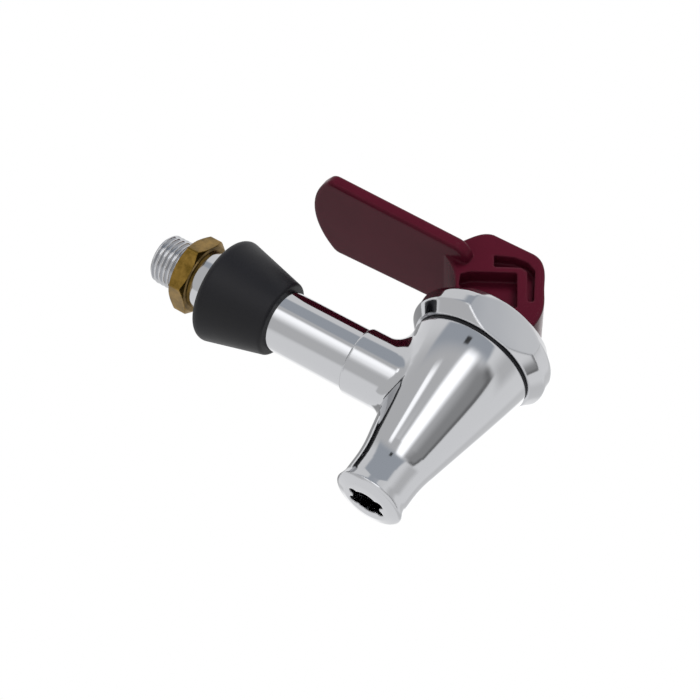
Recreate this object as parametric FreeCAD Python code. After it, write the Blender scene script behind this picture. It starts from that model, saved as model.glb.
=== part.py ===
import FreeCAD
import Part
import math
import os
from FreeCAD import Vector

# Water boiler tap: a self-closing lever tap on a threaded inlet shank.
# The frame's origin is on the inlet's axis where the full thread ends and its lead
# chamfer begins. +Y runs out of the inlet into the boiler, +Z is up, and the spout
# points down at the front.
# Inside this file a piece is drawn about the valve's own axis: height 0 is the
# inlet's axis, "out" is the distance from the valve's axis along the inlet.
# All lengths are in millimetres.

# Valve axis to the end of the full inlet thread
reach = 82.1

# Cast body: spout, cone and neck
mouth_drop = 31.7
mouth_radius = 8.3
mouth_face_radius = 6.0
mouth_dome = 0.7
mouth_face_edge = 2.0
lip_radius = 8.9
lip_height = 2.6
lip_bevel = 0.5
lip_edge = 0.5
lip_blend = 3.0
spout_radius = 8.35
spout_length = 10.5
spout_blend = 30.0
shoulder_height = 13.5
shoulder_edge = 0.5
neck_radius = 13.5
shoulder_width = 2.35
neck_top = 18.5

# Waterway of the body
chamber_radius = 8.9
chamber_floor = -7.4
gland_radius = 11.0
gland_floor = 8.0
seat_bore = 4.6
seat_width = 1.3
seat_height = 1.0
outlet_core = 3.7
outlet_lobe = 1.3
outlet_lobe_across = 1.7
outlet_lobe_along = 3.3
outlet_length = 6.0

# Side boss for the inlet shank
boss_radius = 8.7
boss_end = 23.4
boss_blend = 4.5
boss_bore = 7.1
boss_floor = 13.0

# Inlet shank
shank_radius = 8.0
shank_bore = 4.5
thread_radius = 6.578
thread_pitch_radius = 6.15
thread_length = 12.1
thread_lead = 0.9
seal_thickness = 1.0
seal_clearance = 0.1

# Rubber cone that seals the wall of the boiler
cone_small_radius = 9.75
cone_big_radius = 14.3
cone_length = 18.4
cone_to_nut = 5.6
cone_rim = 1.9
cone_lip = 1.0

# Lock nut
nut_across_flats = 18.0
nut_thickness = 4.6
nut_face_gap = 0.3
nut_chamfer_angle = 30.0
nut_corner = 1.0

# Bonnet
bonnet_gap = 0.7
bonnet_foot_overhang = 0.35
bonnet_wall = 5.1
bonnet_foot_height = 2.9
bonnet_foot_round = 1.2
bonnet_top = 24.0
bonnet_top_bevel = 2.7
bonnet_top_drop = 3.4
bonnet_top_round = 2.4
bonnet_flats = 31.9
bonnet_flats_angle = 23.0
bonnet_plate = 3.5
bonnet_roof_gap = 0.6
clamp_radius = 10.8
clamp_bore = 6.6
gasket_inset = 0.3

# Bush and washers
bush_wall = 1.0
bush_relief = 0.1
thrust_radius = 10.0
thrust_thickness = 0.9
spring_washer_thickness = 0.4

# Stem
stem_radius = 3.5
stem_clearance = 0.1
stem_flats = 5.0
stem_flats_start = 20.5
stem_head_radius = 3.9
stem_head_clearance = 0.5
collar_radius = 5.7
collar_thickness = 1.2
collar_height = -2.0
button_radius = 3.0
button_thickness = 1.4
button_neck_radius = 1.8
button_neck_length = 1.6

# Seat cup of silicone
cup_radius = 6.6
cup_wall = 1.0
cup_flange_thickness = 1.9
cup_clearance = 0.1

# Return spring
spring_radius = 4.95
spring_wire = 0.9
spring_turns = 7.0
spring_end_gap = 0.05

# Lever
tilt_limit = 22.0
cam_rate = 8.0
pin_height_above_cam = 7.1
cam_gap = 0.1
pin_radius = 1.25
pin_clearance = 0.06
pin_cover = 0.7
hub_width = 17.0
hub_height = 19.9
hub_front = 10.4
hub_edge = 0.7
fork_clearance = 0.12
fork_front = 4.7
fork_back = 7.6
fork_head_radius = 4.7
paddle_underside = 8.15
paddle_thickness = 3.5
paddle_root = 13.0
paddle_tip = 59.7
paddle_root_width = 25.8
paddle_tip_width = 29.0
paddle_end_radius = 20.0
paddle_corner = 4.5
paddle_end_corner = 2.8
paddle_edge = 1.0
pocket_depth = 4.0
groove_depth = 3.0
recess_corner = 0.5
# Points of the hub's nose, as shares of hub_front and of hub_height.
nose_shape = [(-0.92, 0.0), (-0.95, 0.21), (-0.83, 0.43), (-0.64, 0.6), (-0.42, 0.81),
              (-0.18, 0.95), (0.1, 1.0)]
# Points of its back, as shares of paddle_root and of the drop from its top to the paddle.
rear_shape = [(0.95, 0.0), (1.13, 0.09), (1.32, 0.36), (1.6, 0.74)]
# Where the heel's throat and its end lie, as shares of paddle_root and paddle_underside.
throat_out = 1.22
throat_rise = 0.72
heel_out = 1.6
# Recesses in the hub's sides: (out, height over the washer).
pocket_outline = [(13.0, 5.0), (11.3, 6.9), (1.4, 12.6), (-3.9, 3.7), (-2.6, 1.8), (11.5, 1.8)]
groove_outline = [(9.0, 14.2), (7.1, 11.1), (1.3, 14.4), (-0.5, 14.1), (-5.2, 6.4), (-6.5, 7.2),
                  (-2.1, 15.3), (0.6, 16.6), (4.4, 16.3)]

# Radii, heights and stations that follow from the sizes above
shoulder_radius = neck_radius + shoulder_width
spout_end = spout_length - mouth_drop
cone_slope = (shoulder_radius - spout_radius) / (shoulder_height - spout_end)
bonnet_foot_radius = shoulder_radius + bonnet_foot_overhang
bonnet_radius = neck_radius + bonnet_wall
bonnet_top_radius = bonnet_radius - bonnet_top_bevel
bonnet_foot = shoulder_height + bonnet_gap
plate_underside = bonnet_top - bonnet_plate
cup_flange_top = gland_floor + cup_flange_thickness
seat_top = chamber_floor + seat_height
thrust_top = bonnet_top + thrust_thickness
cam_height = thrust_top + cam_gap
pin_height = cam_height + pin_height_above_cam
thread_start = reach - thread_length
shank_start = boss_floor + seal_thickness
cone_end = thread_start - cone_to_nut
cone_start = cone_end - cone_length
free_thread_start = thread_start + nut_thickness + nut_face_gap
button_top = collar_height - button_neck_length
button_bottom = button_top - button_thickness
bush_radius = stem_radius + stem_clearance + bush_wall
hub_half = hub_width / 2
tilt = math.radians(tilt_limit)

X = Vector(1, 0, 0)
Y = Vector(0, 1, 0)
Z = Vector(0, 0, 1)
CENTRE = Vector(0, 0, 0)


def rounded_edges(corners, to_point):
    """Edges of a closed outline. A corner is (a, b) or (a, b, radius of its arc)."""
    flat = [Vector(c[0], c[1], 0) for c in corners]
    radii = [c[2] if len(c) > 2 else 0 for c in corners]
    count = len(flat)
    starts = []
    ends = []
    arcs = []
    for i in range(count):
        here = flat[i]
        if radii[i] == 0:
            starts.append(here)
            ends.append(here)
            continue
        back = (flat[i - 1] - here).normalize()
        ahead = (flat[(i + 1) % count] - here).normalize()
        half = back.getAngle(ahead) / 2
        reach_in = radii[i] / math.tan(half)
        middle_way = (back + ahead).normalize()
        starts.append(here + back * reach_in)
        ends.append(here + ahead * reach_in)
        middle = here + middle_way * (radii[i] / math.sin(half) - radii[i])
        arcs.append((i, middle))
    arc_at = dict(arcs)
    edges = []
    for i in range(count):
        if i in arc_at:
            points = [to_point(p) for p in (starts[i], arc_at[i], ends[i])]
            edges.append(Part.Arc(*points).toShape())
        after = (i + 1) % count
        if ends[i].distanceToPoint(starts[after]) > 1e-6:
            line = Part.LineSegment(to_point(ends[i]), to_point(starts[after]))
            edges.append(line.toShape())
    return edges


def upright(point):
    """A profile point (radius or out, height) in the plane of X and Z."""
    return Vector(point.x, 0, point.y)


def sideways(point):
    """A profile point (out, height) in the plane of Y and Z."""
    return Vector(0, point.x, point.y)


def level(point):
    """A plan point (x, y) in the plane of X and Y."""
    return Vector(point.x, point.y, 0)


def face_of(edges):
    return Part.Face(Part.Wire(Part.__sortEdges__(edges)))


def turned(corners):
    """A solid turned about the valve's axis from (radius, height) corners."""
    return face_of(rounded_edges(corners, upright)).revolve(CENTRE, Z, 360)


def turned_on_inlet(corners):
    """A solid turned about the inlet's axis from (radius, out) corners."""
    return turned(corners).rotate(CENTRE, X, -90)


def across(edges, width):
    """A profile in the plane of Y and Z, extruded to both sides of that plane."""
    solid = face_of(edges).extrude(X * width)
    solid.translate(X * (-width / 2))
    return solid


def block(x0, x1, y0, y1, z0, z1):
    return Part.makeBox(x1 - x0, y1 - y0, z1 - z0, Vector(x0, y0, z0))


def filleted(solid, radius, wanted):
    """The solid with each edge rounded for which wanted(edge) is true."""
    chosen = [edge for edge in solid.Edges if wanted(edge)]
    return solid.makeFillet(radius, chosen)


def middle_of(edge):
    return edge.valueAt((edge.FirstParameter + edge.LastParameter) / 2)


def is_upright(edge):
    return abs(edge.tangentAt(edge.FirstParameter).z) > 0.9


def is_level(edge):
    return abs(edge.tangentAt(edge.FirstParameter).z) < 0.1


def curve_through(points):
    """A smooth curve through points given as (out, height)."""
    curve = Part.BSplineCurve()
    curve.interpolate([Vector(0, out, height) for out, height in points])
    return curve.toShape()


def cone_radius_at(height):
    """Outside radius of the body's cone at a height."""
    return shoulder_radius - (shoulder_height - height) * cone_slope


def tap_body():
    mouth = -mouth_drop
    outside = turned([
        (0, mouth),
        (mouth_face_radius, mouth, mouth_face_edge),
        (mouth_radius, mouth + mouth_dome, lip_edge),
        (lip_radius, mouth + mouth_dome + lip_bevel, lip_edge),
        (spout_radius, mouth + mouth_dome + lip_height, lip_blend),
        (spout_radius, spout_end, spout_blend),
        (shoulder_radius, shoulder_height, shoulder_edge),
        (neck_radius, shoulder_height),
        (neck_radius, neck_top),
        (0, neck_top),
    ])
    boss = turned_on_inlet([(0, 0), (boss_radius, 0), (boss_radius, boss_end, 0.6), (0, boss_end)])
    body = outside.fuse(boss).removeSplitter()

    def joins_boss(edge):
        point = middle_of(edge)
        from_inlet = math.hypot(point.x, point.z)
        from_valve = math.hypot(point.x, point.y)
        on_cone = abs(from_valve - cone_radius_at(point.z)) < 0.05
        return abs(from_inlet - boss_radius) < 0.05 and on_cone

    body = filleted(body, boss_blend, joins_boss)
    chamber = turned([
        (0, chamber_floor),
        (chamber_radius, chamber_floor),
        (chamber_radius, gland_floor),
        (gland_radius, gland_floor),
        (gland_radius, neck_top + 1),
        (0, neck_top + 1),
    ])
    seat = turned([
        (0, chamber_floor),
        (seat_bore + seat_width, chamber_floor),
        (seat_bore + seat_width, seat_top, 0.3),
        (0, seat_top),
    ])
    outlet_top = mouth + outlet_length
    bore = Part.makeCylinder(seat_bore, seat_top + 1 - outlet_top, Vector(0, 0, outlet_top))
    star_base = Vector(0, 0, mouth - 1)
    star = Part.makeCylinder(outlet_core, outlet_length + 2, star_base)
    for side in (-1, 1):
        for end in (-1, 1):
            shift = Vector(side * outlet_lobe_across, end * outlet_lobe_along, 0)
            star = star.fuse(Part.makeCylinder(outlet_lobe, outlet_length + 2, star_base + shift))
    inlet = turned_on_inlet([
        (0, 0),
        (shank_bore, 0),
        (shank_bore, boss_floor),
        (boss_bore, boss_floor),
        (boss_bore, boss_end + 1),
        (0, boss_end + 1),
    ])
    return body.cut(chamber).fuse(seat).cut(bore).cut(star).cut(inlet)


def inlet_shank():
    return turned_on_inlet([
        (shank_bore, shank_start),
        (boss_bore, shank_start),
        (boss_bore, boss_end),
        (shank_radius, boss_end),
        (shank_radius, thread_start, 0.4),
        (thread_pitch_radius, thread_start),
        (thread_pitch_radius, free_thread_start),
        (thread_radius, free_thread_start),
        (thread_radius, reach),
        (thread_radius - thread_lead, reach + thread_lead),
        (shank_bore, reach + thread_lead),
    ])


def shank_seal():
    return turned_on_inlet([
        (shank_bore + seal_clearance, boss_floor),
        (boss_bore - seal_clearance, boss_floor),
        (boss_bore - seal_clearance, shank_start),
        (shank_bore + seal_clearance, shank_start),
    ])


def rubber_cone():
    return turned_on_inlet([
        (shank_radius, cone_start),
        (cone_small_radius, cone_start, cone_lip),
        (cone_big_radius, cone_end, cone_rim),
        (shank_radius, cone_end),
    ])


def lock_nut():
    corner = nut_across_flats / 2 / math.cos(math.radians(30))
    points = [Vector(corner, 0, 0)]
    for i in range(6):
        angle = math.radians(60 * (i + 1))
        points.append(Vector(corner * math.cos(angle), corner * math.sin(angle), 0))
    hexagon = Part.Face(Part.makePolygon(points)).extrude(Z * nut_thickness)
    hexagon = filleted(hexagon, nut_corner, is_upright)
    face_radius = nut_across_flats / 2
    drop = (corner - face_radius) * math.tan(math.radians(nut_chamfer_angle))
    envelope = turned([
        (thread_pitch_radius, 0),
        (face_radius, 0),
        (corner, drop),
        (corner, nut_thickness - drop),
        (face_radius, nut_thickness),
        (thread_pitch_radius, nut_thickness),
    ])
    nut = hexagon.common(envelope)
    nut.rotate(CENTRE, X, -90)
    nut.translate(Y * thread_start)
    return nut


def bonnet():
    skirt = turned([
        (neck_radius, bonnet_foot),
        (bonnet_foot_radius, bonnet_foot, 0.3),
        (bonnet_radius, bonnet_foot + bonnet_foot_height, bonnet_foot_round),
        (bonnet_radius, bonnet_top - bonnet_top_drop, bonnet_top_round),
        (bonnet_top_radius, bonnet_top, 1.0),
        (bush_radius, bonnet_top),
        (bush_radius, plate_underside),
        (clamp_bore, plate_underside),
        (clamp_bore, cup_flange_top),
        (clamp_radius, cup_flange_top),
        (clamp_radius, neck_top + bonnet_roof_gap),
        (neck_radius, neck_top + bonnet_roof_gap),
    ])
    wide = 2 * bonnet_radius
    between_flats = block(-bonnet_flats / 2, bonnet_flats / 2, -wide, wide, 0, bonnet_top + 1)
    between_flats.rotate(CENTRE, Z, bonnet_flats_angle)
    return skirt.common(between_flats)


def bonnet_gasket():
    return turned([
        (neck_radius, shoulder_height),
        (shoulder_radius - gasket_inset, shoulder_height, 0.2),
        (shoulder_radius - gasket_inset, bonnet_foot, 0.2),
        (neck_radius, bonnet_foot),
    ])


def stem_bush():
    return turned([
        (stem_radius + stem_clearance, plate_underside),
        (bush_radius, plate_underside),
        (bush_radius, bonnet_top - bush_relief),
        (stem_radius + stem_clearance, bonnet_top - bush_relief),
    ])


def thrust_washer():
    disc = turned([
        (0, bonnet_top),
        (thrust_radius, bonnet_top, 0.25),
        (thrust_radius, thrust_top, 0.25),
        (0, thrust_top),
    ])
    hole_radius = stem_radius + stem_clearance
    hole_half = stem_flats / 2 + stem_clearance
    hole = Part.makeCylinder(hole_radius, thrust_thickness + 2, Vector(0, 0, bonnet_top - 1))
    key = block(-hole_half, hole_half, -hole_radius, hole_radius, bonnet_top - 1, thrust_top + 1)
    return disc.cut(hole.common(key))


def spring_washer():
    return turned([
        (stem_radius + 2 * stem_clearance, plate_underside - spring_washer_thickness),
        (clamp_bore - 2 * stem_clearance, plate_underside - spring_washer_thickness),
        (clamp_bore - 2 * stem_clearance, plate_underside),
        (stem_radius + 2 * stem_clearance, plate_underside),
    ])


def stem():
    collar_top = collar_height + collar_thickness
    head_top = pin_height + stem_head_radius
    shaft = turned([
        (0, button_bottom),
        (button_radius, button_bottom, 0.4),
        (button_radius, button_top, 0.3),
        (button_neck_radius, button_top),
        (button_neck_radius, collar_height),
        (collar_radius, collar_height, 0.3),
        (collar_radius, collar_top, 0.3),
        (stem_radius, collar_top),
        (stem_radius, head_top),
        (0, head_top),
    ])
    long_way = 2 * stem_radius
    flat_half = stem_flats / 2
    beside = block(flat_half, long_way, -long_way, long_way, stem_flats_start, head_top + 1)
    shaft = shaft.cut(beside).cut(beside.mirror(CENTRE, X))
    head_round = Part.makeCylinder(stem_head_radius, long_way, Vector(-stem_radius, 0, pin_height), X)
    below_head = block(-long_way, long_way, -long_way, long_way, button_bottom - 1, pin_height)
    shaft = shaft.common(below_head.fuse(head_round))
    eye = Part.makeCylinder(pin_radius + pin_clearance, 2 * long_way,
                            Vector(-long_way, 0, pin_height), X)
    return shaft.cut(eye)


def seat_cup():
    plug_top = collar_height - cup_clearance
    socket_radius = button_radius + cup_clearance
    throat = button_neck_radius + cup_clearance
    flange_outer = gland_radius - cup_clearance
    wall_start = cup_radius - cup_wall + 0.2
    wall_end = chamber_radius - cup_wall
    return turned([
        (0, seat_top),
        (cup_radius, seat_top, 0.5),
        (cup_radius, plug_top, 1.0),
        (chamber_radius - cup_clearance, gland_floor - 1.0, 1.0),
        (chamber_radius - cup_clearance, gland_floor),
        (flange_outer, gland_floor),
        (flange_outer, cup_flange_top),
        (wall_end - 0.6, cup_flange_top, 0.6),
        (wall_end - 0.6, gland_floor - 1.0, 0.8),
        (wall_start, plug_top, 0.4),
        (throat, plug_top),
        (throat, button_top + cup_clearance),
        (socket_radius, button_top + cup_clearance),
        (socket_radius, button_bottom - cup_clearance),
        (0, button_bottom - cup_clearance),
    ])


def return_spring():
    bottom = collar_height + collar_thickness + spring_end_gap + spring_wire / 2
    top = plate_underside - spring_washer_thickness - spring_end_gap - spring_wire / 2
    height = top - bottom
    path = Part.makeHelix(height / spring_turns, height, spring_radius)
    section = Part.Wire(Part.makeCircle(spring_wire / 2, Vector(spring_radius, 0, 0), Y))
    coil = Part.Wire(path).makePipeShell([section], True, True)
    coil.translate(Z * bottom)
    return coil


def cam_point(angle):
    """A point of the cam, from the pin, that bears on the washer at this tilt."""
    drop = pin_height_above_cam + cam_rate * angle
    out = cam_rate * math.cos(angle) + drop * math.sin(angle)
    up = cam_rate * math.sin(angle) - drop * math.cos(angle)
    return Vector(0, out, pin_height + up)


def hub_solid():
    """The lever's hub: flat foot, cam heel, and a rounded nose over the stem's head."""
    top = cam_height + hub_height
    under = cam_height + paddle_underside
    past_limit = 1.25 * tilt
    heel = [cam_point(past_limit * i / 8) for i in range(9)]
    nose = [(share * hub_front, cam_height + rise * hub_height) for share, rise in nose_shape]
    rear = [(share * paddle_root, top - drop * (top - under)) for share, drop in rear_shape]
    heel_joins = (heel_out * paddle_root, under + paddle_edge / 2)
    throat = (throat_out * paddle_root, cam_height + throat_rise * paddle_underside)
    edges = [
        Part.LineSegment(sideways(Vector(*nose[0], 0)), heel[0]).toShape(),
        curve_through([(point.y, point.z) for point in heel]),
        curve_through([(heel[-1].y, heel[-1].z), throat, heel_joins]),
        Part.LineSegment(sideways(Vector(*heel_joins, 0)), sideways(Vector(*rear[-1], 0))).toShape(),
        curve_through(rear),
        Part.LineSegment(sideways(Vector(*rear[0], 0)), sideways(Vector(*nose[-1], 0))).toShape(),
        curve_through(nose),
    ]
    return across(edges, hub_width)


def paddle_solid():
    """The flat thumb plate, wider towards its rounded end."""
    root = paddle_root_width / 2
    tip = paddle_tip_width / 2
    sagitta = paddle_end_radius - math.sqrt(paddle_end_radius ** 2 - tip ** 2)
    outline = rounded_edges([
        (-root, paddle_root, paddle_corner),
        (root, paddle_root, paddle_corner),
        (tip, paddle_tip),
        (-tip, paddle_tip),
    ], level)
    plate = face_of(outline).extrude(Z * paddle_thickness)
    end_disc = Part.makeCylinder(paddle_end_radius, paddle_thickness,
                                 Vector(0, paddle_tip - paddle_end_radius, 0))
    before_end = block(-2 * tip, 2 * tip, 0, paddle_tip - sagitta - 1, 0, paddle_thickness)
    plate = plate.common(before_end.fuse(end_disc)).removeSplitter()

    def end_corner(edge):
        return is_upright(edge) and middle_of(edge).y > paddle_root + 2 * paddle_corner

    plate = filleted(plate, paddle_end_corner, end_corner)
    plate = filleted(plate, paddle_edge, is_level)
    plate.translate(Z * (cam_height + paddle_underside))
    return plate


def hub_pocket(outline, depth):
    """A recess in the hub's near side, and the same one in its far side."""
    corners = [(out, cam_height + rise, recess_corner) for out, rise in outline]
    edges = rounded_edges(corners, sideways)
    cutter = face_of(edges).extrude(X * (depth + 1))
    near = cutter.copy()
    near.translate(X * (-hub_half - 1))
    far = cutter.copy()
    far.translate(X * (hub_half - depth))
    return near.fuse(far)


def lever():
    hub = hub_solid()

    def side_rim(edge):
        point = middle_of(edge)
        return abs(abs(point.x) - hub_half) < 0.01

    hub = filleted(hub, hub_edge, side_rim)
    solid = hub.fuse(paddle_solid())
    fork_half = stem_flats / 2 + fork_clearance
    slot = block(-fork_half, fork_half, -fork_front, fork_back, cam_height - 1, pin_height)
    head_room = Part.makeCylinder(fork_head_radius, 2 * fork_half,
                                  Vector(-fork_half, 0, pin_height), X)
    pin_start = -hub_half + pocket_depth + pin_cover
    pin_way = Part.makeCylinder(pin_radius, hub_half - pin_start,
                                Vector(pin_start, 0, pin_height), X)
    side_pocket = hub_pocket(pocket_outline, pocket_depth)
    rim_groove = hub_pocket(groove_outline, groove_depth)
    return solid.cut(slot).cut(head_room).cut(pin_way).cut(side_pocket).cut(rim_groove)


def handle_pin():
    start = -hub_half + pocket_depth + pin_cover
    return Part.makeCylinder(pin_radius, hub_half - pocket_depth - start,
                             Vector(start, 0, pin_height), X)


pieces = {
    "tap_body": tap_body(),
    "inlet_shank": inlet_shank(),
    "shank_seal": shank_seal(),
    "rubber_cone": rubber_cone(),
    "lock_nut": lock_nut(),
    "bonnet": bonnet(),
    "bonnet_gasket": bonnet_gasket(),
    "stem_bush": stem_bush(),
    "spring_washer": spring_washer(),
    "return_spring": return_spring(),
    "seat_cup": seat_cup(),
    "thrust_washer": thrust_washer(),
    "stem": stem(),
    "lever": lever(),
    "handle_pin": handle_pin(),
}

os.makedirs("parts", exist_ok=True)
for name, shape in pieces.items():
    placed = shape.copy()
    placed.translate(Y * -reach)
    placed.exportStep("parts/" + name + ".step")
    box = placed.BoundBox
    print(name, "solids", len(placed.Solids), "valid", placed.isValid(),
          "volume", round(placed.Volume, 1),
          "box", [round(v, 2) for v in (box.XMin, box.YMin, box.ZMin, box.XMax, box.YMax, box.ZMax)])
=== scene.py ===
# %% [markdown]
# # A water boiler tap
# This lesson dresses a lever tap: a chromed brass body with a hanging spout, a threaded
# inlet with a rubber cone and a lock nut, and a glossy maroon thumb lever.
# The solids are already built and fixed in place. The lesson gives them finishes, cuts the
# inlet's thread, and sets up the studio and the camera.

# %% Load the solids
import math

import bmesh
import bpy
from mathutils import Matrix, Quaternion, Vector


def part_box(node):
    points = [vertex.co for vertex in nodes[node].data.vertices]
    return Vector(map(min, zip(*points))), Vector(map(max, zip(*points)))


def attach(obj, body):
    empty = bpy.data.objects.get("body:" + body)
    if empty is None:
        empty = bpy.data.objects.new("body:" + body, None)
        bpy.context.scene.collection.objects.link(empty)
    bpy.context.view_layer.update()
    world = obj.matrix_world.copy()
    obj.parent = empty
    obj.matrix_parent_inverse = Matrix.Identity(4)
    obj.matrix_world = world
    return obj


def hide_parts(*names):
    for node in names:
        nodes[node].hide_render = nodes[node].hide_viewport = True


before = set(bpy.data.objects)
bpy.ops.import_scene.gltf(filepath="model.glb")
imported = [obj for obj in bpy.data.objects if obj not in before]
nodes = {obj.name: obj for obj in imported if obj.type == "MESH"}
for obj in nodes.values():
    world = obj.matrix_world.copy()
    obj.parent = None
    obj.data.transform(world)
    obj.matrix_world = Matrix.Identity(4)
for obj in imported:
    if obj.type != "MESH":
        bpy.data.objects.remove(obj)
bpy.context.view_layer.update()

MM = 0.001

# %% [markdown]
# ## Where the valve stands
# The frame's origin is at the inlet's threaded end. Most pieces turn about the valve's
# upright axis, which stands a fixed reach back from there. The stem is round about that
# axis, so the middle of its box gives the place without any typed number.

# %% Valve axis
stem_low, stem_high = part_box("stem")
valve = Vector(((stem_low.x + stem_high.x) / 2, (stem_low.y + stem_high.y) / 2, 0))
print("valve axis in mm:", [round(v / MM, 2) for v in valve])

# %% [markdown]
# ## Helpers for materials
# Colours are written as sRGB hex, the way a paint chart gives them, and one function turns
# them into the linear values that light works with. One more function adds a shader node,
# sets it and links it, so that each material below reads as a short recipe.

# %% Colour and node helpers


def linear(hex_colour):
    """An sRGB hex colour as linear red, green, blue and alpha."""
    channels = [int(hex_colour[i:i + 2], 16) / 255 for i in (1, 3, 5)]
    curved = [c / 12.92 if c <= 0.04045 else ((c + 0.055) / 1.055) ** 2.4 for c in channels]
    return (*curved, 1.0)


def add(tree, kind, inputs=None, **settings):
    """Adds a shader node. inputs maps a socket's name or number to a value or an output."""
    node = tree.nodes.new(kind)
    for name, value in settings.items():
        setattr(node, name, value)
    for name, value in (inputs or {}).items():
        if isinstance(value, bpy.types.NodeSocket):
            tree.links.new(value, node.inputs[name])
        else:
            node.inputs[name].default_value = value
    return node


def new_material(name):
    """An empty node material."""
    material = bpy.data.materials.new(name)
    material.use_nodes = True
    material.node_tree.nodes.clear()
    return material


print("the grey #808080 is", round(linear("#808080")[0], 3), "in linear light")

# %% [markdown]
# ## Patterns in real millimetres
# A noise texture at scale 1 has features about one metre wide, so its scale is one over the
# real width. A wave texture counts differently: at scale 1 it runs through twenty radians
# in each metre, and a whole wave takes a full turn of them.

# %% Pattern scales
wave_radians = 20


def per_metre(size_mm):
    """Scale for a noise texture whose features are this wide."""
    return 1 / (size_mm * MM)


def waves_per_metre(spacing_mm):
    """Scale for a wave texture whose marks lie this far apart."""
    return 2 * math.pi / (wave_radians * spacing_mm * MM)


print("scale of a 1 mm noise:", per_metre(1), "and of 1 mm waves:", round(waves_per_metre(1), 1))

# %% [markdown]
# ## The rounded top of the cone
# Under the bonnet the side of the real cone isn't quite straight: it rolls inwards over its
# last centimetres. It hardly shows in the outline, but a mirror gives it away, because the
# bright streaks end in round tips there. The solid's cone is straight, so the roll is drawn
# as a smooth bump. Its height falls with the fourth power of the climb up to the shoulder,
# which matches the tilt that the streaks show, and it fades out behind, over the side boss.

# %% Rolled top
roll_start = -10 * MM
roll_end = 13.5 * MM
roll_power = 4.0
roll_fall = 0.82 * MM
boss_fade_start = valve.y + 8 * MM
boss_fade_end = valve.y + 18 * MM


def rolled_top(tree, place, normal):
    """A normal that leans up where the cone rolls inwards."""
    at = add(tree, "ShaderNodeSeparateXYZ", {0: place})
    climb = add(tree, "ShaderNodeMapRange", {
        "Value": at.outputs["Z"], "From Min": roll_start, "From Max": roll_end})
    curve = add(tree, "ShaderNodeMath", {0: climb.outputs["Result"], 1: roll_power},
                operation="POWER")
    front = add(tree, "ShaderNodeMapRange", {
        "Value": at.outputs["Y"], "From Min": boss_fade_start, "From Max": boss_fade_end,
        "To Min": 1.0, "To Max": 0.0}, interpolation_type="SMOOTHSTEP")
    fall = add(tree, "ShaderNodeMath", {0: curve.outputs[0], 1: front.outputs["Result"]},
               operation="MULTIPLY")
    return add(tree, "ShaderNodeBump", {
        "Height": fall.outputs[0], "Strength": 1.0, "Distance": roll_fall,
        "Normal": normal}, invert=True).outputs["Normal"]


print("the roll is", round((roll_end - roll_start) / MM, 1), "mm high")

# %% [markdown]
# ## Bright chrome plate
# The body, shank and bonnet are brass, ground, polished and plated with nickel and chrome.
# Chrome reflects a little over half of the light, with hardly any tint, and its default
# metal IOR does. The polish leaves a nearly perfect mirror, so the roughness is tiny. Hand
# polishing leaves long shallow waves, 9 mm wide and a few hundredths of a millimetre deep,
# which bend the reflections a little. It also rounds the corners, more on the castings than
# on the turned shank, so each kind of piece gets its own edge radius. Wiping leaves faint
# smears, 4 mm wide, in the gloss.

# %% Chrome plate


def chrome_plate(name, edge_radius, rolled=False):
    material = new_material(name)
    tree = material.node_tree
    place = add(tree, "ShaderNodeTexCoord").outputs["Object"]
    waves = add(tree, "ShaderNodeTexNoise", {
        "Vector": place, "Scale": per_metre(9.0), "Detail": 1.0, "Roughness": 0.4})
    soft_edge = add(tree, "ShaderNodeBevel", {"Radius": edge_radius}, samples=6)
    ripple = add(tree, "ShaderNodeBump", {
        "Height": waves.outputs["Fac"], "Strength": 0.5, "Distance": 0.03 * MM,
        "Normal": soft_edge.outputs["Normal"]})
    normal = ripple.outputs["Normal"]
    if rolled:
        normal = rolled_top(tree, place, normal)
    wiped = add(tree, "ShaderNodeTexNoise", {
        "Vector": place, "Scale": per_metre(4.0), "Detail": 4.0, "Roughness": 0.6})
    gloss = add(tree, "ShaderNodeMapRange", {
        "Value": wiped.outputs["Fac"], "To Min": 0.03, "To Max": 0.08})
    plate = add(tree, "ShaderNodeBsdfPrincipled", {
        "Base Color": linear("#C4C5C8"), "Metallic": 1.0,
        "Roughness": gloss.outputs["Result"], "Normal": normal})
    add(tree, "ShaderNodeOutputMaterial", {"Surface": plate.outputs["BSDF"]})
    return material


chrome = chrome_plate("chrome_plate", 0.25 * MM)
soft_chrome = chrome_plate("chrome_plate_with_soft_corners", 0.7 * MM)
rolled_chrome = chrome_plate("chrome_plate_on_rolled_cone", 0.6 * MM, rolled=True)
print("chromed finishes:", [m.name for m in (chrome, soft_chrome, rolled_chrome)])

# %% [markdown]
# ## Turned brass
# The lock nut is left as it came off the lathe: yellow brass, dulled by a thin brown film
# of tarnish. The film is uneven, in patches 3 mm wide, so a soft noise mixes a clean and a
# tarnished colour. Fine turning marks run round its faces. The real ones are about 0.2 mm
# apart, too fine to show, so they are drawn 2.2 mm apart.

# %% Brass


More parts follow.
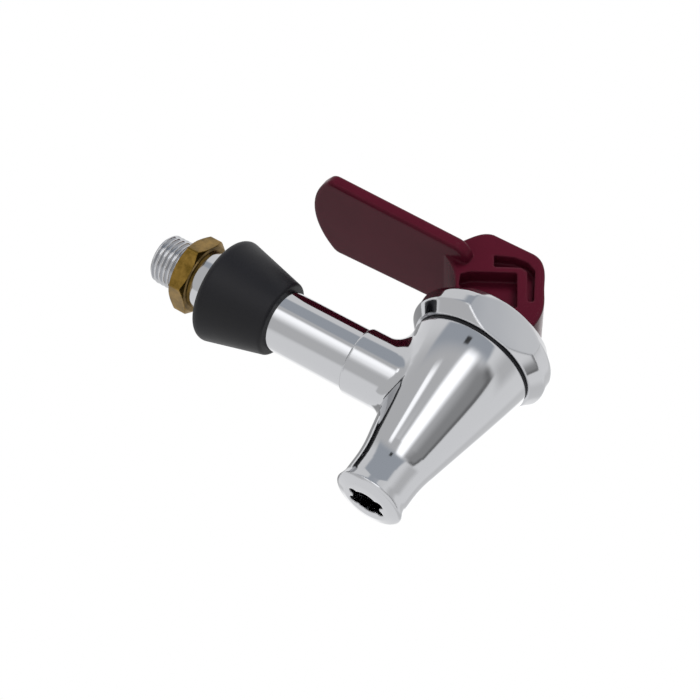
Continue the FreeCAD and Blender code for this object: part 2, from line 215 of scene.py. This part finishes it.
def turned_brass():
    material = new_material("turned_brass")
    tree = material.node_tree
    place = add(tree, "ShaderNodeTexCoord").outputs["Object"]
    film = add(tree, "ShaderNodeTexNoise", {
        "Vector": place, "Scale": per_metre(3.0), "Detail": 5.0, "Roughness": 0.65})
    spread = add(tree, "ShaderNodeMapRange", {
        "Value": film.outputs["Fac"], "From Min": 0.35, "From Max": 0.65})
    colour = add(tree, "ShaderNodeMix", {
        "Factor": spread.outputs["Result"], "A": linear("#66501F"), "B": linear("#957639")},
        data_type="RGBA")
    marks = add(tree, "ShaderNodeTexWave", {
        "Vector": place, "Scale": waves_per_metre(2.2), "Distortion": 0.4, "Detail": 1.0},
        wave_type="RINGS", rings_direction="Y")
    soft_edge = add(tree, "ShaderNodeBevel", {"Radius": 0.3 * MM}, samples=4)
    cut = add(tree, "ShaderNodeBump", {
        "Height": marks.outputs["Fac"], "Strength": 0.25, "Distance": 0.01 * MM,
        "Normal": soft_edge.outputs["Normal"]})
    brass = add(tree, "ShaderNodeBsdfPrincipled", {
        "Base Color": colour.outputs[2], "Metallic": 1.0, "Roughness": 0.32,
        "Normal": cut.outputs["Normal"]})
    add(tree, "ShaderNodeOutputMaterial", {"Surface": brass.outputs["BSDF"]})
    return material


brass = turned_brass()
print("made", brass.name, "with", len(brass.node_tree.nodes), "nodes")

# %% [markdown]
# ## Black rubber
# The cone and the gasket are moulded in nitrile rubber, black with a faint blue cast. The
# satin skin copies the fine spark-eroded grain of the mould, a quarter of a millimetre
# wide. Dust and handling make its gloss uneven, in patches 6 mm wide.

# %% Rubber


def moulded_rubber():
    material = new_material("moulded_nitrile_rubber")
    tree = material.node_tree
    place = add(tree, "ShaderNodeTexCoord").outputs["Object"]
    grain = add(tree, "ShaderNodeTexNoise", {
        "Vector": place, "Scale": per_metre(0.25), "Detail": 3.0, "Roughness": 0.6})
    dust = add(tree, "ShaderNodeTexNoise", {
        "Vector": place, "Scale": per_metre(6.0), "Detail": 4.0, "Roughness": 0.6})
    colour = add(tree, "ShaderNodeMix", {
        "Factor": dust.outputs["Fac"], "A": linear("#0F0F13"), "B": linear("#16161B")},
        data_type="RGBA")
    satin = add(tree, "ShaderNodeMapRange", {
        "Value": dust.outputs["Fac"], "To Min": 0.42, "To Max": 0.58})
    skin = add(tree, "ShaderNodeBump", {
        "Height": grain.outputs["Fac"], "Strength": 0.35, "Distance": 0.03 * MM})
    rubber = add(tree, "ShaderNodeBsdfPrincipled", {
        "Base Color": colour.outputs[2], "Roughness": satin.outputs["Result"], "IOR": 1.52,
        "Specular IOR Level": 0.25, "Normal": skin.outputs["Normal"]})
    add(tree, "ShaderNodeOutputMaterial", {"Surface": rubber.outputs["BSDF"]})
    return material


rubber = moulded_rubber()
print("made", rubber.name, "with", len(rubber.node_tree.nodes), "nodes")

# %% [markdown]
# ## Glossy maroon plastic
# The lever is moulded in ABS, coloured right through, in a polished mould. It has the slow
# sink and flow waves of a thick moulding, 12 mm wide, and edges rounded by a millimetre.
# Fingers have scuffed the gloss a little, in marks about a millimetre wide. The real skin
# hardly mirrors the tent, so the specular level is far below the usual half, and the colour
# stays deep.

# %% Maroon ABS


def maroon_abs():
    material = new_material("glossy_maroon_abs")
    tree = material.node_tree
    place = add(tree, "ShaderNodeTexCoord").outputs["Object"]
    flow = add(tree, "ShaderNodeTexNoise", {
        "Vector": place, "Scale": per_metre(12.0), "Detail": 2.0, "Roughness": 0.5})
    colour = add(tree, "ShaderNodeMix", {
        "Factor": flow.outputs["Fac"], "A": linear("#4B1322"), "B": linear("#551627")},
        data_type="RGBA")
    scuff = add(tree, "ShaderNodeTexNoise", {
        "Vector": place, "Scale": per_metre(1.2), "Detail": 5.0, "Roughness": 0.7})
    gloss = add(tree, "ShaderNodeMapRange", {
        "Value": scuff.outputs["Fac"], "To Min": 0.16, "To Max": 0.3})
    soft_edge = add(tree, "ShaderNodeBevel", {"Radius": 1.0 * MM}, samples=8)
    sink = add(tree, "ShaderNodeBump", {
        "Height": flow.outputs["Fac"], "Strength": 0.5, "Distance": 0.12 * MM,
        "Normal": soft_edge.outputs["Normal"]})
    plastic = add(tree, "ShaderNodeBsdfPrincipled", {
        "Base Color": colour.outputs[2], "Roughness": gloss.outputs["Result"], "IOR": 1.54,
        "Specular IOR Level": 0.05, "Normal": sink.outputs["Normal"]})
    add(tree, "ShaderNodeOutputMaterial", {"Surface": plastic.outputs["BSDF"]})
    return material


maroon = maroon_abs()
print("made", maroon.name, "with", len(maroon.node_tree.nodes), "nodes")

# %% [markdown]
# ## The hidden working pieces
# Acetal bushes, a silicone seat cup and stainless steel parts are plain engineering
# materials. One recipe serves the two kinds of moulding, clouded in patches 2 mm wide.
# Another serves the drawn or turned steel, whose gloss is as patchy. The steel's marks run
# round the stem, and like those of the brass they are drawn coarser than the real ones, 1.9
# mm apart, so that they show.

# %% Acetal, silicone and steel


def moulded(name, dark, light, roughness, ior):
    material = new_material(name)
    tree = material.node_tree
    place = add(tree, "ShaderNodeTexCoord").outputs["Object"]
    cloud = add(tree, "ShaderNodeTexNoise", {
        "Vector": place, "Scale": per_metre(2.0), "Detail": 4.0})
    colour = add(tree, "ShaderNodeMix", {
        "Factor": cloud.outputs["Fac"], "A": linear(dark), "B": linear(light)},
        data_type="RGBA")
    skin = add(tree, "ShaderNodeBump", {
        "Height": cloud.outputs["Fac"], "Strength": 0.2, "Distance": 0.02 * MM})
    body = add(tree, "ShaderNodeBsdfPrincipled", {
        "Base Color": colour.outputs[2], "Roughness": roughness, "IOR": ior,
        "Normal": skin.outputs["Normal"]})
    add(tree, "ShaderNodeOutputMaterial", {"Surface": body.outputs["BSDF"]})
    return material


def turned_steel():
    material = new_material("turned_stainless_steel")
    tree = material.node_tree
    place = add(tree, "ShaderNodeTexCoord").outputs["Object"]
    marks = add(tree, "ShaderNodeTexWave", {
        "Vector": place, "Scale": waves_per_metre(1.885), "Distortion": 0.3, "Detail": 1.0},
        wave_type="BANDS", bands_direction="Z")
    cut = add(tree, "ShaderNodeBump", {
        "Height": marks.outputs["Fac"], "Strength": 0.25, "Distance": 0.01 * MM})
    cloud = add(tree, "ShaderNodeTexNoise", {"Vector": place, "Scale": per_metre(2.0)})
    gloss = add(tree, "ShaderNodeMapRange", {
        "Value": cloud.outputs["Fac"], "To Min": 0.2, "To Max": 0.34})
    steel = add(tree, "ShaderNodeBsdfPrincipled", {
        "Base Color": linear("#B9B7B3"), "Metallic": 1.0,
        "Roughness": gloss.outputs["Result"], "Normal": cut.outputs["Normal"]})
    add(tree, "ShaderNodeOutputMaterial", {"Surface": steel.outputs["BSDF"]})
    return material


acetal = moulded("moulded_acetal", "#DCDAD2", "#E6E4DC", 0.35, 1.48)
silicone = moulded("moulded_silicone", "#B4B2AC", "#C2C0BA", 0.45, 1.41)
steel = turned_steel()
print("hidden finishes:", [m.name for m in (acetal, silicone, steel)])

# %% [markdown]
# ## Which solid wears which finish
# Every solid gets one of the finishes above, the hidden ones too, because the tap may be
# taken apart or cut open later. The threaded shank isn't in this list: its mesh is made
# anew below. A table of finish and names is easier to check than fourteen single lines.

# %% Finish of each solid
finishes = {
    soft_chrome: ["bonnet"],
    rolled_chrome: ["tap_body"],
    brass: ["lock_nut"],
    rubber: ["rubber_cone", "bonnet_gasket"],
    maroon: ["lever"],
    acetal: ["thrust_washer", "stem_bush", "shank_seal"],
    silicone: ["seat_cup"],
    steel: ["stem", "handle_pin", "return_spring", "spring_washer"],
}
for material, names in finishes.items():
    for name in names:
        nodes[name].data.materials.clear()
        nodes[name].data.materials.append(material)
print("finished solids:", sum(len(names) for names in finishes.values()))

# %% [markdown]
# ## The inlet shank
# The shank is turned from brass bar and plated. A narrow spigot sits in the body's boss,
# then comes the plain part that carries the rubber cone, and last the thread. Most places
# along the bar come from the boxes of the solids round it, so they always fit. The spigot
# alone is given by its reach from the valve's axis, because the boss hides its end.

# %% Measures of the shank
shank_low, shank_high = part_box("inlet_shank")
nut_low, nut_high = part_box("lock_nut")
cone_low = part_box("rubber_cone")[0]
shank_radius = 8.0 * MM
spigot_radius = 7.1 * MM
bore_radius = 4.5 * MM
spigot_reach = 23.4 * MM
spigot_end = valve.y + spigot_reach
print("shank from", round(shank_low.y / MM, 1), "to", round(shank_high.y / MM, 1), "mm")

# %% [markdown]
# ## A mesh from rings
# A turned piece could be a profile spun round by a screw modifier, but then every radius is
# the same all the way round. Here the skin is laid over a row of rings instead, each with
# its own place on the axis and a function that gives the radius at each angle. That
# function is what later lets the thread wind. Round faces are shaded smooth, and any edge
# that turns by more than a set angle stays crisp, as a lathe tool leaves it.

# %% Mesh by rings
sharp_angle = math.radians(32)


def ring_mesh(name, rings, around):
    """A closed skin over rings. Each ring gives (y, function from angle to radius)."""
    mesh = bmesh.new()
    rows = []
    for y, radius_at in rings:
        row = []
        for i in range(around):
            angle = 2 * math.pi * i / around
            radius = radius_at(angle)
            row.append(mesh.verts.new((radius * math.cos(angle), y, radius * math.sin(angle))))
        rows.append(row)
    for first, second in [*zip(rows, rows[1:]), (rows[-1], rows[0])]:
        for i in range(around):
            after = (i + 1) % around
            mesh.faces.new((first[i], second[i], second[after], first[after]))
    bmesh.ops.recalc_face_normals(mesh, faces=mesh.faces)
    data = bpy.data.meshes.new(name)
    mesh.to_mesh(data)
    mesh.free()
    data.polygons.foreach_set("use_smooth", [True] * len(data.polygons))
    data.set_sharp_from_angle(angle=sharp_angle)
    piece = bpy.data.objects.new(name, data)
    bpy.context.scene.collection.objects.link(piece)
    return piece


def plain(radius):
    """The same radius at every angle."""
    return lambda angle: radius


print("edges stay crisp from", round(math.degrees(sharp_angle)), "degrees")

# %% [markdown]
# ## The thread's form
# The inlet ends in a quarter-inch parallel pipe thread, 19 threads to the inch. It could be
# a spiral swept along a curve, or a stack of rings, but a lathe does neither: it moves a
# pointed tool along while the bar turns. The same idea gives the neatest mesh. Each point's
# radius depends on how far it stands along the bar and how far round, which makes a true
# helix. Crest and root are rounded, and the lead chamfer cuts down the last ridges.

# %% Thread form
core_radius = 6.15 * MM
crest_radius = 6.578 * MM
thread_depth = 0.856 * MM
thread_pitch = 1.337 * MM
rounded_share = 0.12


def smooth(low, high, value):
    """0 below low, 1 above high, and a smooth rise between them."""
    share = min(1, max(0, (value - low) / (high - low)))
    return share * share * (3 - 2 * share)


def thread_radius(y, angle):
    """Radius of the thread at a place: rounded ridges, cut down by the lead chamfer."""
    turn = (y / thread_pitch - angle / (2 * math.pi)) % 1
    from_crest = abs(2 * turn - 1)
    below_crest = smooth(rounded_share, 1 - rounded_share, from_crest) * thread_depth
    chamfer = crest_radius - max(0, y)
    return min(crest_radius - below_crest, chamfer)


rows_per_turn = 16
thread_start = nut_high.y
thread_length = shank_high.y - thread_start
steps = round(thread_length / thread_pitch * rows_per_turn)
thread_rings = []
for i in range(steps + 1):
    y = thread_start + thread_length * i / steps
    thread_rings.append((y, lambda angle, y=y: thread_radius(y, angle)))
print("thread turns:", round(steps / rows_per_turn, 1))

# %% [markdown]
# ## The whole shank
# One skin runs from the spigot over the plain part, behind the nut and along the thread, and
# back through the bore. Short steps at its edges break the corners. The piece takes the
# place of the solid with the plain end, and stays with the tap when the lever moves.

# %% Threaded shank
edge = 0.3 * MM
points_around = 96
shank = ring_mesh("inlet_shank_threaded", [
    (shank_low.y, plain(bore_radius)),
    (shank_low.y, plain(spigot_radius)),
    (spigot_end, plain(spigot_radius)),
    (spigot_end, plain(shank_radius)),
    (cone_low.y, plain(shank_radius)),
    (nut_low.y - edge, plain(shank_radius)),
    (nut_low.y - edge / 4, plain(shank_radius - edge / 4)),
    (nut_low.y, plain(shank_radius - edge)),
    (nut_low.y, plain(core_radius)),
    (thread_start, plain(core_radius)),
    *thread_rings,
    (shank_high.y, plain(bore_radius + edge)),
    (shank_high.y - edge, plain(bore_radius)),
], around=points_around)
shank.data.materials.append(chrome)
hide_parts("inlet_shank")
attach(shank, "tap")
print("faces of the shank:", len(shank.data.polygons))

# %% [markdown]
# ## The camera
# The photograph looks up at the tap from below and in front, with the camera rolled over, so
# that the spout hangs down to the left. The view was solved from the round edges of the
# spout, the bonnet and the inlet. The camera is given as a photographer would note it: where
# it stands, what it points at, how far it is rolled, and the lens.

# %% Camera
camera_place = Vector((-334.3, -196.75, -179.14)) * MM
aim = Vector((-8.26, -58.78, -2.97)) * MM
roll = math.radians(38.62)
camera_data = bpy.data.cameras.new("camera")
camera_data.sensor_width = 36.0
camera_data.lens = 85.48
camera_data.clip_start = 10 * MM
camera = bpy.data.objects.new("camera", camera_data)
bpy.context.scene.collection.objects.link(camera)
camera.location = camera_place
camera.rotation_mode = "QUATERNION"
level_view = (aim - camera_place).to_track_quat("-Z", "Y")
camera.rotation_quaternion = level_view @ Quaternion((0, 0, 1), roll)
bpy.context.scene.camera = camera
print("camera to valve in mm:", round((camera_place - valve).length / MM))

# %% [markdown]
# ## The studio that the chrome reflects
# Chrome has no colour of its own to show: it shows the room. The room here is a white tent.
# Soft boxes in it make the bright streaks, and a dark screen beside the main one, with a
# still darker edge, draws the long dark line down the body. Above them hangs a cool grey
# wall, with one small dark opening that shows as a speck on the cone and on the spout. They
# could be planes with light on them. Here they are soft patches in the world, placed by
# compass direction and height, which gives clean edges and costs nothing to render.

# %% Patches of light and dark
# Each patch gives four edges in degrees of azimuth: where it starts, is full, is full no
# more, and ends. 0 is +X, 90 is +Y, and the count runs from 60 to 420. Next comes how far
# its two sides lean for each degree of height, then four edges in degrees of elevation, its
# brightness, where 1 is white, and its tint. A later patch covers an earlier one.
white = "#FFFFFF"
cool = "#ECF3FC"
patches = {
    "far_side_of_tent": ((88, 96, 168, 200), (0, 0), (-68, -60, 10, 24), 0.69, white),
    "tent_roof": ((60, 100, 200, 230), (0, 0), (12, 26, 91, 92), 0.92, white),
    "grey_wall": ((101, 111, 228, 236), (0.85, -0.85), (9, 15, 51, 57), 0.57, cool),
    "right_wall": ((222, 250, 260, 284), (0, 0), (11, 15, 50, 60), 0.71, white),
    "dim_gap": ((196, 206, 230, 262), (0, 0), (-40, -25, 9, 13), 0.64, white),
    "screen_edge": ((228, 250, 262, 266), (-1.3, -1.3), (-40, -25, 11, 13.5), 0.2, white),
    "dark_screen": ((212, 240, 252, 260), (-1.3, -1.3), (-40, -25, 8.5, 11.5), 0.37, white),
    "low_soft_box": ((148, 153, 164, 172), (0, 0), (-40, -8, -5, 4), 1.7, white),
    "side_soft_box": ((140, 144, 149, 156), (0, 0), (-3, 0, 6, 9), 1.75, white),
    "main_soft_box": ((170, 180, 196, 212), (0.6, 0), (-30, -20, 10, 14), 1.95, white),
    "corner_wall": ((310, 325, 341, 350), (0, 0), (-91, -90, 91, 92), 0.82, white),
    "rear_soft_box": ((344, 352, 372, 378), (0, 0), (14, 20, 34, 42), 1.4, white),
    "left_soft_box": ((372, 376, 382, 388), (0, 0), (-14, -6, 8, 14), 1.2, white),
    "dim_corner": ((384, 394, 421, 422), (0, 0), (-14, -6, 24, 32), 0.4, white),
    "dark_opening": ((166.5, 169, 175, 177.5), (0, 0), (13, 14, 16.4, 17.4), 0.05, white),
}
print("patches of light and dark:", len(patches))

# %% [markdown]
# ## Directions as compass angles
# The world is drawn for each direction that a ray leaves in. Two angles say where that is:
# the azimuth round the horizon and the elevation above it. The azimuth starts at 60 degrees,
# where the dim corner ends, so that no patch is cut in two by the start of the count.

# %% Azimuth and elevation
azimuth_start = 60.0
world = bpy.data.worlds.new("studio_tent")
world.use_nodes = True
tree = world.node_tree
tree.nodes.clear()
place = add(tree, "ShaderNodeTexCoord").outputs["Generated"]
split = add(tree, "ShaderNodeSeparateXYZ", {0: place})
compass = add(tree, "ShaderNodeMath", {0: split.outputs["Y"], 1: split.outputs["X"]},
              operation="ARCTAN2")
compass = add(tree, "ShaderNodeMath", {0: compass.outputs[0]}, operation="DEGREES")
azimuth = add(tree, "ShaderNodeMath", {
    0: compass.outputs[0], 1: azimuth_start + 360, 2: azimuth_start}, operation="WRAP")
height = add(tree, "ShaderNodeMath", {0: split.outputs["Z"]}, operation="ARCSINE")
elevation = add(tree, "ShaderNodeMath", {0: height.outputs[0]}, operation="DEGREES")
print("azimuth runs from", azimuth_start, "to", azimuth_start + 360)

# %% [markdown]
# ## Laying the patches over the tent
# A patch is the product of four soft steps, one for each of its edges: up from nought to one
# at its start, and down again at its end. Where the product is one the patch hides what is
# behind it, and where it is nought it leaves it alone. So the patches are mixed over a white
# tent one after another, like paper cut-outs.

# %% Room light
room_light = linear(white)
for across, lean, up, level, tint in patches.values():
    left, right = [
        add(tree, "ShaderNodeMath", {0: elevation.outputs[0], 1: -slope, 2: azimuth.outputs[0]},
            operation="MULTIPLY_ADD").outputs[0]
        for slope in lean]
    sides = [
        (left, across[0], across[1], 0.0, 1.0),
        (right, across[2], across[3], 1.0, 0.0),
        (elevation.outputs[0], up[0], up[1], 0.0, 1.0),
        (elevation.outputs[0], up[2], up[3], 1.0, 0.0),
    ]
    edges = [
        add(tree, "ShaderNodeMapRange", {
            "Value": angle, "From Min": first, "From Max": last, "To Min": start, "To Max": end},
            interpolation_type="SMOOTHSTEP").outputs["Result"]
        for angle, first, last, start, end in sides]
    mask = edges[0]
    for edge_of_patch in edges[1:]:
        mask = add(tree, "ShaderNodeMath", {0: mask, 1: edge_of_patch},
                   operation="MULTIPLY").outputs[0]
    light = [level * channel for channel in linear(tint)]
    room_light = add(tree, "ShaderNodeMix", {"Factor": mask, "A": room_light, "B": light},
                     data_type="RGBA").outputs[2]
print("nodes in the world:", len(tree.nodes))

# %% [markdown]
# ## What each kind of ray sees
# Only reflections see the tent with its patches. The camera sees plain white paper behind
# the tap, as in a catalogue picture. Matt surfaces get an even daylight, kept low so that
# the lamps can shape them.

# %% Background by kind of ray
paper_white = 1.0
daylight = 0.36
room = add(tree, "ShaderNodeBackground", {"Color": room_light, "Strength": 1.0})
paper = add(tree, "ShaderNodeBackground", {"Color": linear(white), "Strength": paper_white})
soft_light = add(tree, "ShaderNodeBackground", {"Color": linear(white), "Strength": daylight})
ray = add(tree, "ShaderNodeLightPath")
lit = add(tree, "ShaderNodeMixShader", {
    0: ray.outputs["Is Glossy Ray"], 1: soft_light.outputs[0], 2: room.outputs[0]})
seen_through = add(tree, "ShaderNodeMath", {
    0: ray.outputs["Is Camera Ray"], 1: ray.outputs["Is Transmission Ray"]},
    operation="MAXIMUM")
shown = add(tree, "ShaderNodeMixShader", {
    0: seen_through.outputs[0], 1: lit.outputs[0], 2: paper.outputs[0]})
add(tree, "ShaderNodeOutputWorld", {"Surface": shown.outputs[0]})
bpy.context.scene.world = world
print("daylight on matt surfaces:", daylight)

# %% [markdown]
# ## Lamps
# A large soft key lamp on the lever's near side gives the matt pieces most of their light
# and shape. A faint fill comes from near the camera, and a third lamp lifts the far side.
# They light matt surfaces only: the gloss comes from the tent. A disk lamp of a given power
# lights a surface that faces it by power / (pi squared times distance squared), so the
# function takes the share of full daylight and works out the power.

# %% Lamps
lamp_distance = 0.9


def soft_lamp(name, azimuth_deg, elevation_deg, size, share):
    """An area lamp that adds this share of full daylight to a surface that faces it."""
    lamp = bpy.data.lights.new(name, "AREA")
    lamp.shape = "DISK"
    lamp.size = size
    lamp.energy = share * math.pi ** 2 * lamp_distance ** 2
    holder = bpy.data.objects.new(name, lamp)
    bpy.context.scene.collection.objects.link(holder)
    flat = math.cos(math.radians(elevation_deg))
    direction = Vector((flat * math.cos(math.radians(azimuth_deg)),
                        flat * math.sin(math.radians(azimuth_deg)),
                        math.sin(math.radians(elevation_deg))))
    holder.location = aim + direction * lamp_distance
    holder.rotation_mode = "QUATERNION"
    holder.rotation_quaternion = (-direction).to_track_quat("-Z", "Y")
    holder.visible_glossy = False
    holder.visible_camera = False
    print(name, "power in watts:", round(lamp.energy, 2))


soft_lamp("key_lamp", azimuth_deg=180, elevation_deg=35, size=0.35, share=0.62)
soft_lamp("fill_lamp", azimuth_deg=200, elevation_deg=-10, size=0.6, share=0.08)
soft_lamp("rear_lamp", azimuth_deg=10, elevation_deg=25, size=0.5, share=0.3)

# %% [markdown]
# ## Floor
# The floor is pale card. It lies well below the tap, because the camera stands lower than
# the tap and looks up at it. Card lit from above would look grey beside the white paper, so
# the camera sees it mostly as glowing white and partly as matt card, which keeps a soft
# shadow. The tent already gives the reflections, so the floor is left out of them.

# %% Floor
floor_depth = 320 * MM
floor_half = 3.0
glowing_share = 0.88
floor_data = bpy.data.meshes.new("floor")
floor_corners = [(-floor_half, -floor_half), (floor_half, -floor_half),
                 (floor_half, floor_half), (-floor_half, floor_half)]
floor_data.from_pydata([(x, y, -floor_depth) for x, y in floor_corners], [], [(0, 1, 2, 3)])
floor = bpy.data.objects.new("floor", floor_data)
bpy.context.scene.collection.objects.link(floor)
floor.visible_glossy = False
card = new_material("pale_card_floor")
tree = card.node_tree
matt = add(tree, "ShaderNodeBsdfDiffuse", {"Color": linear("#F4F4F2")})
glow = add(tree, "ShaderNodeEmission", {"Color": linear(white), "Strength": paper_white})
ray = add(tree, "ShaderNodeLightPath")
not_matt = add(tree, "ShaderNodeMath", {
    0: ray.outputs["Is Camera Ray"], 1: ray.outputs["Is Glossy Ray"]}, operation="MAXIMUM")
most = add(tree, "ShaderNodeMath", {0: not_matt.outputs[0], 1: glowing_share},
           operation="MULTIPLY")
mixed = add(tree, "ShaderNodeMixShader", {
    0: most.outputs[0], 1: matt.outputs[0], 2: glow.outputs[0]})
add(tree, "ShaderNodeOutputMaterial", {"Surface": mixed.outputs[0]})
floor_data.materials.append(card)

# %% [markdown]
# ## The view transform, and the end
# The dressed tap should be as large as the solids: finishes add nothing, and the new shank
# has the old one's length and radii. The view transform is the plain one, in which a colour
# renders as it is written.

# %% View transform
bpy.context.scene.view_settings.view_transform = "Standard"
